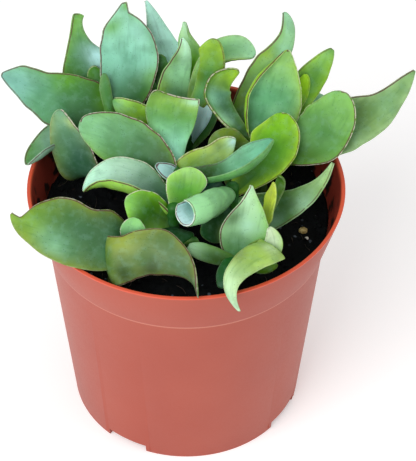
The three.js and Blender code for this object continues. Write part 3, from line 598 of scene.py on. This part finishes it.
             base=1.2, point=0.9, left=(1.2, 1.3, 180),
             lobes=[(-1, 0.5, 0.12, 1.6), (-1, 0.76, 0.13, -1.7)], tip="8CB078", mid="7C9C5C",
             heel="80984C", warm="B8D4A4", glow=(0.6, 0.6), line=(1, 0.2), rim=(0.4, 0),
             spots=[(0.6, 0.5, 5, "90B488", 0.7), (-0.6, 0.3, 4, "88A450", 0.8),
                    (0.2, 0.75, 4, "94BC90", 0.6), (0.8, 0.3, 4, "90AC58", 0.7)]),
        # The broad rounded one in front of it.
        dict(up=13, rib=[(43, 10, 105), (50.5, 16, 119)], width=17.5, across=(-40, -35), wide=0.62,
             point=0.5, roll=(10, 15), lobes=[(1, 0.45, 0.2, 1.6)], tip="8ABC6C", mid="669B58",
             heel="5C8E44", glow=(0.4, 0.6), line=(0.3, 0.9), rim=(0.3, 0.8),
             spots=[(0.5, 0.12, 4, "7CB030", 0.9), (-0.7, 0.35, 4, "98CC90", 0.7),
                    (0.6, 0.35, 4, "507C20", 0.7)]),
        # Two that spread towards the back.
        dict(up=12, rib=[(28, 30, 103), (31, 50, 99)], width=15, across=(0, 0), left=(2, 1.3, 0),
             right=(2, 1.3, 160)),
        dict(up=9, rib=[(37, 25, 101), (47, 38, 98)], width=13, across=(-40, 0), left=(1.5, 1.3, 90),
             right=(2, 1.3, 160)),
        # Two short ones low on the stem.
        dict(up=6, rib=[(33, 17, 91), (39, 24, 93)], width=9, across=(-45, 0)),
        dict(up=7, rib=[(24, 20, 93), (22, 31, 96)], width=9, across=(0, 0)),
    ]),
    "stem_centre": dict(foot=(-4, -3), top=(-4, -2, 102), leaves=[
        # The square-ended one in the middle.
        dict(up=13, rib=[(-4.5, 13.5, 107), (-3, 18, 115)], width=16.5, across=(0, 6), wide=0.7,
             point=0.5, blunt=7, roll=(15, 10), lobes=[(-1, 0.6, 0.3, 1)], horn=2, tip="A8CC74",
             mid="6CA45C", heel="A4E4C8", glow=(0.4, 0.3), line=(0.1, 0.1), rim=(0.3, 0.1), edge=0.9,
             spots=[(0.8, 0.92, 3, "B8E0C4", 0.9), (-0.7, 0.45, 4, "94D0A0", 0.7),
                    (0, 0.15, 6, "ACE8D0", 0.8), (-0.1, 0.72, 4, "6AA040", 0.6)]),
        # The broad oval one that lies to the left.
        dict(up=17, rib=[(-18.5, 7.5, 103), (-35, 12, 109)], width=17.5, across=(90, 47), wide=0.5,
             base=0.6, point=0.5, roll=(5, 10), tip="92C599", mid="689C70", heel="305C2C",
             glow=(0.7, 0.6), line=(0.2, 1), rim=(0.3, 0.7),
             spots=[(-0.6, 0.62, 5, "5A9058", 0.7), (0, 0.35, 5, "48804C", 0.6)]),
        # The young folded one at the stem's tip.
        dict(up=15, rib=[(-4.5, -3.8, 99.8), (-10, -1.8, 102.8)], width=6.4, across=(90, 30),
             roll=(30, 40), tip="ACD0CC", heel="8CB4B0", glow=(0, 0), line=(1, 1)),
        # The blue-green channel that reaches to the right, its base darkened with painted shade.
        dict(up=15, rib=[(10, -5.7, 101.7), (20.5, -5.5, 107), (28, -0.5, 112.5)], width=14,
             across=(-75, -5), wide=0.6, base=0.6, point=0.6, roll=(55, 100),
             lobes=[(-1, 0.4, 0.25, -2.2)], tip="82C1A4", mid="8CC6A5", heel="34600C", back="80B676",
             glow=(0.1, 0.3), line=(0.4, 0.2),
             spots=[(0, 0.25, 7, "345C10", 1), (-0.7, 0.6, 3, "5C9070", 0.7)]),
        # The yellow-green one behind it, seen from outside.
        dict(up=14, rib=[(9.5, 2.5, 104), (16, 3, 109.5)], width=12, across=(-80, -50), wide=0.3,
             base=0.4, point=1, roll=(20, 10), lobes=[(-1, 0.48, 0.22, -2)], tip="A9CD52", mid="A4C070",
             heel="78A038", warm="B4CC58", glow=(0.8, 0.3), line=(0.6, 0.1), rim=(0.6, 0),
             spots=[(0, 0.9, 4, "B8DCDC", 1), (-0.7, 0.6, 3, "486C48", 0.8),
                    (0.8, 0.45, 3, "447010", 0.8)]),
        # A short one low on the stem.
        dict(up=5, rib=[(-11, 3.5, 90), (-17, 7, 94)], width=9, across=(60, 20)),
    ]),
    "stem_right": dict(foot=(15, -6), top=(15, -4, 97), leaves=[
        # The broad one with a yellow-green margin.
        dict(up=10, rib=[(27, 3.5, 102), (31, 11, 114)], width=16.5, across=(0, -20), wide=0.65,
             point=0.55, roll=(20, 20), lobes=[(-1, 0.2, 0.2, 3), (-1, 0.68, 0.14, 1.2)], tip="84BC22",
             mid="68A83C", heel="447438", warm="C4E848", glow=(0.9, 1), line=(0.1, 0.7), rim=(0.2, 0.5),
             spots=[(0.2, 0.8, 3, "8CC040", 0.6)]),
        # The olive one behind the blades of the middle stem.
        dict(up=12, rib=[(14.5, 6.5, 101), (16, 9.5, 108.2)], width=15, across=(-15, -10), tip="7E9440",
             heel="4C7430", glow=(0.3, 0.3), line=(0.5, 0.5)),
        # The one rolled into a tube, open at its end.
        dict(up=9, rib=[(9, -20.3, 98.1), (0.9, -31.1, 103.7)], width=23.5, across=(169, -41), wide=0.7,
             base=0.5, point=0.5, blunt=11, roll=(155, 160), tip="DCF4F4", mid="C8ECE8", heel="5C8C60",
             back="ACE0AC", glow=(0, 0), line=(0.7, 0.9), rim=(0.5, 0.8)),
        # The slim folded one that lies low at the right.
        dict(up=4, rib=[(34.5, -9.3, 92), (48, 2, 100)], width=13, across=(-60, -40), wide=0.2,
             base=0.5, point=1.4, roll=(30, 55), lobes=[(1, 0.88, 0.12, 0.5), (1, 0.2, 0.15, 2)],
             tip="B4D4A0", mid="5A8448", heel="2C5227", back="A8CCA4", glow=(0.2, 0.4), line=(0.2, 0.7),
             spots=[(0.8, 0.6, 4, "A8CCB0", 1), (0.8, 0.35, 3, "94B8A1", 0.9),
                    (-0.7, 0.05, 4, "8CC088", 0.9)]),
        # Two dark ones in the shade below the tube and behind it, whose dark tones are painted shade for
        # that shaded place.
        dict(up=5, rib=[(9, -17.5, 90.5), (4.5, -22, 93)], width=12, across=(100, 45), wide=0.5,
             base=0.5, tip="2F6B38", heel="1F5022", glow=(0, 0), line=(0, 0),
             spots=[(-0.8, 0.4, 3, "A8C488", 0.9)]),
        dict(up=7, rib=[(9, -5, 92), (5.5, -3, 95.5)], width=10, across=(100, 45), wide=0.5, base=0.5,
             tip="3E7460", heel="1F5022", glow=(0, 0), line=(0, 0)),
    ]),
    "stem_front": dict(foot=(-5, -17), top=(-4, -16, 99), leaves=[
        # The cupped one that arches to the left.
        dict(up=12, rib=[(-21, -6.5, 99.5), (-33.5, -7.5, 96)], width=18, across=(90, 10), wide=0.4,
             base=0.8, point=0.85, roll=(110, 45), lobes=[(-1, 0.4, 0.3, 1.5)], tip="CCF4E0",
             mid="ADCDB8", heel="48745C", back="A8D468", glow=(0.1, 0.2), line=(1, 0.3),
             rim=(0.2, 0.8)),
        # The round bright one at the stem's tip.
        dict(up=10, rib=[(-0.5, -12.4, 101), (0.4, -7.6, 107)], width=14.5, across=(8, -9), wide=0.65,
             roll=(20, 25), lobes=[(1, 0.45, 0.22, -1.9)], tip="B0DC7F", mid="71AE4F", heel="49822A",
             warm="B0DC7F", glow=(0.9, 0.4), line=(0, 0), rim=(0.9, 0.9),
             spots=[(0, 0.85, 2, "B0DC98", 0.8)]),
        # The bright one below it at the left.
        dict(up=7, rib=[(-12.5, -19, 99), (-19.5, -19.5, 104)], width=12, across=(80, 50), wide=0.5,
             base=0.7, lobes=[(-1, 0.5, 0.3, 3)], tip="90C470", mid="4C8410", heel="305F1A",
             warm="A0D83C", glow=(0.6, 0.9), line=(0, 0.2), rim=(0.2, 0.8),
             spots=[(-0.8, 0.25, 4, "9CCC70", 0.9)]),
        # Two low on the stem, one of them young.
        dict(up=3, rib=[(0.8, -26, 90), (2.5, -26, 93.5)], width=5, roll=(10, 10), tip="2C6632",
             heel="1F5022", line=(0, 0)),
        dict(up=6, rib=[(-3.5, -23, 91), (-2.5, -29, 90)], width=12, across=(180, 10), wide=0.5,
             tip="2F6B2C", heel="1F5022", glow=(0, 0), line=(0, 0)),
    ]),
    "stem_front_left": dict(foot=(-23, -33), top=(-17, -25, 91), leaves=[
        # The largest one, which reaches out over the rim to the left.
        dict(up=8, rib=[(-28, -30.5, 97.5), (-44, -31, 103), (-55, -28.5, 106.5)], width=22,
             across=(90, 40), wide=0.42, base=0.6, point=1, roll=(10, 10), right=(1.5, 1.4, 200),
             lobes=[(1, 0.9, 0.08, -3.4), (1, 0.66, 0.1, 0.8), (1, 0.4, 0.1, -2.4)], tip="94B444",
             mid="5A8050", heel="4C7458", warm="90A034", glow=(0.8, 0.9), line=(0.1, 0.9),
             rim=(0.2, 0.5),
             spots=[(-0.5, 0.6, 5, "98C8A8", 0.7), (-0.5, 0.25, 3, "74A884", 0.5),
                    (0.2, 0.45, 4, "48785C", 0.5), (0.4, 0.8, 5, "80AC54", 0.6)]),
        # The broad arched one whose tip bends down onto the front of the rim.
        dict(up=3, rib=[(-22, -36.5, 95.5), (-7, -38.5, 98), (3.5, -53, 93.5)], width=19,
             across=(-80, -45), wide=0.3, base=0.5, point=1.2, roll=(-25, -25),
             lobes=[(-1, 0.38, 0.14, -3.2), (-1, 0.66, 0.1, 1.2), (1, 0.76, 0.14, 1.2)], tip="5C7C64",
             mid="748C58", heel="7C9850", warm="A0A850", glow=(0.8, 0.4), line=(0.9, 1), rim=(0.3, 0.3),
             spots=[(-0.7, 0.4, 5, "A4B45C", 0.8), (0.75, 0.35, 5, "3A5A3A", 0.9),
                    (0.75, 0.6, 4, "405C48", 0.9), (-0.6, 0.88, 3, "545F4C", 0.7)]),
        # The pale young one between them.
        dict(up=8, rib=[(-17, -27.8, 97.7), (-15.7, -25.4, 101.2)], width=8.6, tip="A1D88F",
             mid="98CC98", heel="ACE0AC", glow=(0.1, 0.1), line=(0, 0), rim=(0.8, 0.8)),
        # A short one low on the stem.
        dict(up=2, rib=[(-31, -28.5, 89), (-36.5, -23, 92)], width=9, across=(45, 0)),
    ]),
    "stem_front_right": dict(foot=(19, -30), top=(19, -30, 92), leaves=[
        # The pale pointed one, with a painted highlight down the middle of its blade.
        dict(up=4, rib=[(18.5, -26.5, 98), (20.5, -20.5, 111)], width=16, across=(-10, -10), wide=0.4,
             base=0.5, point=1, roll=(30, 30), lobes=[(-1, 0.8, 0.17, -1.6), (1, 0.66, 0.2, 1)],
             tip="BBDCB9", mid="A4CDA4", heel="548850", warm="94C454", glow=(0.2, 0.8), line=(1, 0),
             rim=(0.4, 0.2),
             spots=[(0.1, 0.55, 2.5, "B4DCC0", 0.8), (-0.7, 0.62, 3, "607858", 0.8),
                    (0.8, 0.3, 3, "88C048", 0.8)]),
        # The low one that points to the left.
        dict(up=3, rib=[(7.5, -32.5, 92), (0.5, -31.5, 95)], width=6, across=(80, 40), tip="C4ECC4",
             mid="78A070", heel="5E8A50", line=(0.1, 0.1), spots=[(-0.8, 0.4, 4, "2C4820", 0.9)]),
        # The hooked one whose tip hangs over the front of the rim.
        dict(up=9, rib=[(26, -37, 98.5), (16.5, -46, 99.5), (16.5, -55.5, 90)], width=10.5,
             across=(145, 10), wide=0.3, base=0.7, point=0.9, roll=(-10, -10), tip="C2DEC0",
             mid="A7C665", heel="9CBC54", warm="BED692", glow=(0.6, 0.3), line=(0.1, 0.3),
             spots=[(0, 0.35, 3, "D4ECB8", 0.9), (0.8, 0.6, 3, "708440", 0.8)]),
        # The pale one that stands at its root.
        dict(up=6, rib=[(27, -33, 95), (26, -29.5, 101.2)], width=7.2, across=(-20, -10), roll=(30, 50),
             tip="C8D7BC", mid="CCDCC4", heel="8CB464", warm="A8CC64", glow=(0.2, 0.6),
             line=(0.3, 0.1)),
        # Three slim young ones at the right. The first is painted in very bright yellow-green tones:
        # painted light that makes up for the shade it stands in.
        dict(up=9, rib=[(26, -20.5, 98), (28, -16, 108)], width=6, across=(-60, 20),
             lobes=[(-1, 0.72, 0.12, 1.2), (1, 0.45, 0.12, 0.8)], tip="E4F070", mid="DCF068",
             heel="C4E450", line=(0.1, 0.2)),
        dict(up=9, rib=[(29, -11.5, 98), (30, -9, 104)], width=4, across=(-40, 0), tip="4E7A24",
             heel="49661F", line=(0.1, 0.1)),
        dict(up=3, rib=[(24, -33.5, 87), (29, -34, 89)], width=4, across=(-70, -40), tip="6C9420",
             heel="3A570F", line=(0.1, 0.1)),
        # The dark one that hangs in the shade below the hooked one.
        dict(up=5, rib=[(14, -37, 89.5), (10.5, -43, 87.5)], width=8, across=(150, 10), wide=0.4,
             tip="2E6A40", heel="347A34", glow=(0, 0), line=(0, 0)),
    ]),
}


def stem_point(stem, height):
    """The middle of a stem: upright in the soil, then leaning from its foot to its top."""
    part = min(max((height - SOIL) / (stem["top"][2] - SOIL), 0), 1)
    eased = 0.6 * part + 0.4 * part * part * (3 - 2 * part)
    x, y = (foot + (top - foot) * eased for foot, top in zip(stem["foot"], stem["top"]))
    return Vector((x, y, height))


def curve_at(points, part):
    """The place and direction of the smooth curve through evenly spaced points."""
    spans = len(points) - 1
    place, slope = Vector(), Vector()
    for i, point in enumerate(points):
        weight, change = 1.0, 0.0
        for j in range(spans + 1):
            if j != i:
                change = (change * (part * spans - j) + weight * spans) / (i - j)
                weight *= (part * spans - j) / (i - j)
        place += point * weight
        slope += point * change
    return place, slope.normalized()


def half_width(leaf, part, side):
    """Half the leaf's width in mm at a part of its length, on one side of its midrib."""
    half = leaf["width"] / 2
    if part < leaf["wide"]:
        width = NECK + (half - NECK) * math.sin(math.pi / 2 * part / leaf["wide"]) ** leaf["base"]
    else:
        rest = (part - leaf["wide"]) / (1 - leaf["wide"])
        ease = max(math.cos(math.pi / 2 * rest), 0) ** leaf["point"]
        width = leaf["blunt"] + (half - leaf["blunt"]) * ease
    for lobe_side, at, spread, bulge in leaf["lobes"]:
        if lobe_side == side:
            width += bulge * math.exp(-((part - at) / spread) ** 2)
    return max(width, 0.5)


def smooth(low, high, value):
    """Goes smoothly from 0 at low to 1 at high, whichever of them is the larger."""
    part = min(max((value - low) / (high - low), 0), 1)
    return part * part * (3 - 2 * part)


def mix(first, second, part):
    """Two colours mixed."""
    return tuple(a + (b - a) * part for a, b in zip(first, second))


def skin(code):
    """The leaf skin's own colour, for the colour that it shows in full light."""
    return tuple(SKIN_SHARE * part ** SKIN_DEPTH for part in colour(code))


def add_leaf(bm, stem, shape, seed):
    """Folds a grid into one leaf and notes its tone, its margin and the place on its blade."""
    leaf = {**PLAIN_LEAF, **shape}
    tone, trim = (bm.verts.layers.float_color[name] for name in ("tone", "trim"))
    lie = bm.verts.layers.float_vector["lie"]
    rib = [stem_point(stem, SOIL + leaf["up"])] + [Vector(point) for point in leaf["rib"]]
    length = sum((curve_at(rib, (i + 1) / 20)[0] - curve_at(rib, i / 20)[0]).length for i in range(20))
    tip, heel, back, warm = (skin(leaf[name]) for name in ("tip", "heel", "back", "warm"))
    middle = skin(leaf["mid"]) if leaf["mid"] else mix(heel, tip, 0.5)
    spots = [(*spot[:3], skin(spot[3]), spot[4]) for spot in leaf["spots"]]
    small = 2 if leaf["width"] < 7 else 1
    grid = bmesh.ops.create_grid(bm, x_segments=LEAF_AROUND // small, y_segments=LEAF_ALONG // small,
                                 size=0.5)["verts"]
    rows = {}
    for vert in grid:
        rows.setdefault(round(vert.co.y, 5), []).append(vert)
    for row, verts in rows.items():
        part = 1 - (1 - (row + 0.5)) ** 1.2
        place, along = curve_at(rib, part)
        right = heading(*leaf["across"])
        right = (right - along * right.dot(along)).normalized()
        face = right.cross(along)
        past = max(part - 1 + LEAF_END, LEAF_END - part, 0) / LEAF_END
        closing = math.sqrt(max(1 - past * past, 0))
        swell = math.sin(math.pi * min(part, 1)) ** 0.6
        # The heel tone is the leaf's own colour at its base, in most leaves darkened with painted shade
        # where the leaves crowd at the stem.
        base_tone = mix(mix(heel, middle, smooth(0.1, 0.6, part)), tip, smooth(0.5, 0.95, part))
        for vert in verts:
            angle = (vert.co.x + 0.5) * math.tau
            e = -math.cos(angle)
            side = 0 if e < 0 else 1
            sign = -1 if e < 0 else 1
            half = half_width(leaf, part, sign)
            ripple = noise.noise(Vector((part * length / RIPPLE_LENGTH, sign * 5.5, seed * 7.7)))
            half += RIPPLE * ripple * swell * min(half / 5, 1)
            flat = leaf["flat"][side]
            total = math.radians(leaf["roll"][side])
            turn = total * max(abs(e) - flat, 0) / (1 - flat)
            reach = half * (1 - flat) / total
            out = half * min(abs(e), flat) + reach * math.sin(turn)
            height, waves, phase = leaf["right"] if side else leaf["left"]
            wave = height * math.sin(math.tau * waves * part + math.radians(phase)) * e * e * swell
            dimple_place = (e * half / DIMPLE_WIDTH, part * length / DIMPLE_LENGTH, seed * 3.3)
            dimple = noise.noise(Vector(dimple_place))
            up = face * math.cos(turn) - right * sign * math.sin(turn)
            thick = MARGIN_HALF_THICKNESS * abs(math.sin(angle)) ** 0.6
            thick += (LEAF_HALF_THICKNESS - MARGIN_HALF_THICKNESS) * (1 - e * e) * (1 - part ** 4)
            thick *= closing * (1 if math.sin(angle) > 0 else -1)
            thick += DIMPLE * dimple * swell * min(half / 4, 1)
            spot = place + right * sign * out
            spot += face * (reach * (1 - math.cos(turn)) + wave) + up * thick
            spot += along * leaf["horn"] * e * e * part ** 6
            vert.co = spot * MM
            inset = min((1 - abs(e)) * half, (1 - part) * length)
            shade = base_tone
            for spot_e, spot_part, spread, spot_tone, strength in spots:
                apart = math.hypot((e - spot_e) * half, (part - spot_part) * length) / spread
                shade = mix(shade, spot_tone, strength * math.exp(-apart * apart))
            # Warm glow inside the margin: partly the leaf's own yellow-green margin, partly painted
            # light shining through the thin edge.
            glow = leaf["glow"][side] * math.exp(-inset / GLOW_REACH)
            shade = mix(shade, warm, glow * smooth(1.02, 0.85, part))
            shade = mix(back, shade, smooth(-0.3, 0.3, math.sin(angle)))
            vert[tone] = shade
            # The trim holds the distance to the margin, the strength of the purple-brown line and the
            # strength of the painted rim highlight.
            end_line = leaf["edge"] * smooth(0.8, 0.95, part)
            vert[trim] = (inset / 10, max(leaf["line"][side], end_line),
                          max(leaf["rim"][side], end_line), 1)
            vert[lie] = (e * half, part * length, seed * 11.3)


def add_stem(bm, stem):
    """Folds a grid into the stem's tube, with a rounded tip and faint rings where leaves fell."""
    tone, trim = (bm.verts.layers.float_color[name] for name in ("tone", "trim"))
    lie = bm.verts.layers.float_vector["lie"]
    height = stem["top"][2] - SOIL + STEM_DEPTH
    grid = bmesh.ops.create_grid(bm, x_segments=24, y_segments=48, size=0.5)["verts"]
    for vert in grid:
        angle = (vert.co.x + 0.5) * math.tau
        level = (vert.co.y + 0.5) * height
        middle = stem_point(stem, SOIL - STEM_DEPTH + level)
        left = height - level
        radius = STEM_RADIUS * math.sqrt(max(1 - max(1 - left / 2.5, 0) ** 2, 0))
        radius *= math.sqrt(max(1 - max(1 - level / 0.5, 0) ** 2, 0))
        radius *= 1 + 0.04 * math.sin(level * 1.9)
        vert.co = (middle + Vector((radius * math.cos(angle), radius * math.sin(angle), 0))) * MM
        vert[tone] = mix(skin(STEM_FOOT_TONE), skin(STEM_TOP_TONE), smooth(10, 20, level))
        vert[trim] = (1, 0, 0, 1)
        vert[lie] = (angle * 2, level, 0)


leaf_finish, spot, leaf_shader = finish_of(
    "waxy_leaf", Subsurface_Weight=0.06, Subsurface_Scale=0.0008, IOR=1.42,
    Specular_IOR_Level=0.3)
leaf_shader.inputs["Subsurface Radius"].default_value = (0.6, 1.0, 0.25)
tone = spot.node("ShaderNodeAttribute", {"attribute_name": "tone"})
trim = spot.node("ShaderNodeAttribute", {"attribute_name": "trim"})
margin, line_share, rim_share = (
    spot.node("ShaderNodeSeparateColor", inputs={0: trim}, output=part)
    for part in ("Red", "Green", "Blue"))
margin = margin * 10
lie = spot.node("ShaderNodeAttribute", {"attribute_name": "lie"}, output="Vector")
cloud = spot.mottled(130, 3)
bloom = spot.mottled(420, 5)
streak_place = spot.node("ShaderNodeVectorMath", {"operation": "MULTIPLY"},
                         {0: lie, 1: (0.9, 0.12, 1)})
streak = streak_place.mottled(1, 3)
dash = lie.mottled(0.9, 2)
pores = spot.node("ShaderNodeTexVoronoi", inputs={"Vector": lie, "Scale": 1.05})
leaf_colour = (cloud.within(0.6, 0.35) * 0.3).blend(tone, colour("1E5A1E"))
leaf_colour = (bloom.within(0.45, 0.7) * 0.1).blend(leaf_colour, colour("94C8B8"))
leaf_colour = (streak.within(0.5, 0.75) * 0.2).blend(leaf_colour, colour("1E5A28"))
dots = pores.within(0.24, 0.1) * bloom.within(0.4, 0.55)
leaf_colour = (dots * 0.35).blend(leaf_colour, colour("143C1C"))
wobble = margin + (bloom - 0.5) * 0.3
line = wobble.within(0.65, 0.5) * wobble.within(0.1, 0.2) * line_share
line = line * (dash + line_share * 0.2).within(0.4, 0.6)
leaf_colour = (line * 0.9).blend(leaf_colour, colour("52282F"))
# A pale rim right at the margin: a painted highlight where the rounded edge catches the light.
rim = wobble.within(0.3, 0.15) * dash.within(0.65, 0.45) * rim_share
leaf_colour = (rim * 0.8).blend(leaf_colour, colour("D8CCC4"))
relief = (bloom * 0.6 - dots * 0.5 + streak * 0.4).relief(0.2, 0.0003)
feed(leaf_shader, Base_Color=leaf_colour, Roughness=0.34 + bloom * 0.2, Normal=relief)

for number, (name, stem) in enumerate(STEMS.items()):
    bm = bmesh.new()
    bm.verts.layers.float_color.new("tone")
    bm.verts.layers.float_color.new("trim")
    bm.verts.layers.float_vector.new("lie")
    add_stem(bm, stem)
    for count, leaf in enumerate(stem["leaves"]):
        add_leaf(bm, stem, leaf, number * SEEDS_PER_STEM + count)
    close_up(bm)
    piece_of(name + "_leaves", bm, leaf_finish, "succulent_leaf", name)

# Studio. A pale floor with a faint glow of its own that runs out of sight, a pale world, a broad
# soft light above at the left and a weak one at the right. The picture has no film look.
FLOOR_SIZE = 4
FLOOR_GLOW = 0.22
WORLD_LIGHT = 0.6
bpy.context.scene.view_settings.view_transform = "Standard"
floor_finish, spot, floor_shader = finish_of("pale_floor", Roughness=0.9, Emission_Strength=FLOOR_GLOW)
haze = spot.mottled(3, 2)
feed(floor_shader, Base_Color=haze.blend(colour("F4F4F4"), colour("FAFAFA")))
bm = bmesh.new()
bmesh.ops.create_grid(bm, x_segments=1, y_segments=1, size=FLOOR_SIZE)
floor = object_of("floor", bm, floor_finish)

world = bpy.data.worlds.new("studio")
bpy.context.scene.world = world
world.use_nodes = True
world.node_tree.nodes["Background"].inputs["Color"].default_value = (1, 1, 1, 1)
world.node_tree.nodes["Background"].inputs["Strength"].default_value = WORLD_LIGHT
for name, azimuth, elevation, away, size, power in (
    ("key", -128, 38, 0.9, 0.7, 6.2),
    ("fill", -20, 35, 1.1, 0.6, 1.9),
):
    lamp = bpy.data.lights.new(name, "AREA")
    lamp.size = size
    lamp.energy = power
    holder = bpy.data.objects.new(name, lamp)
    bpy.context.scene.collection.objects.link(holder)
    holder.location = rim_centre + heading(azimuth, elevation) * away
    holder.rotation_euler = (-heading(azimuth, elevation)).to_track_quat("-Z", "Y").to_euler()
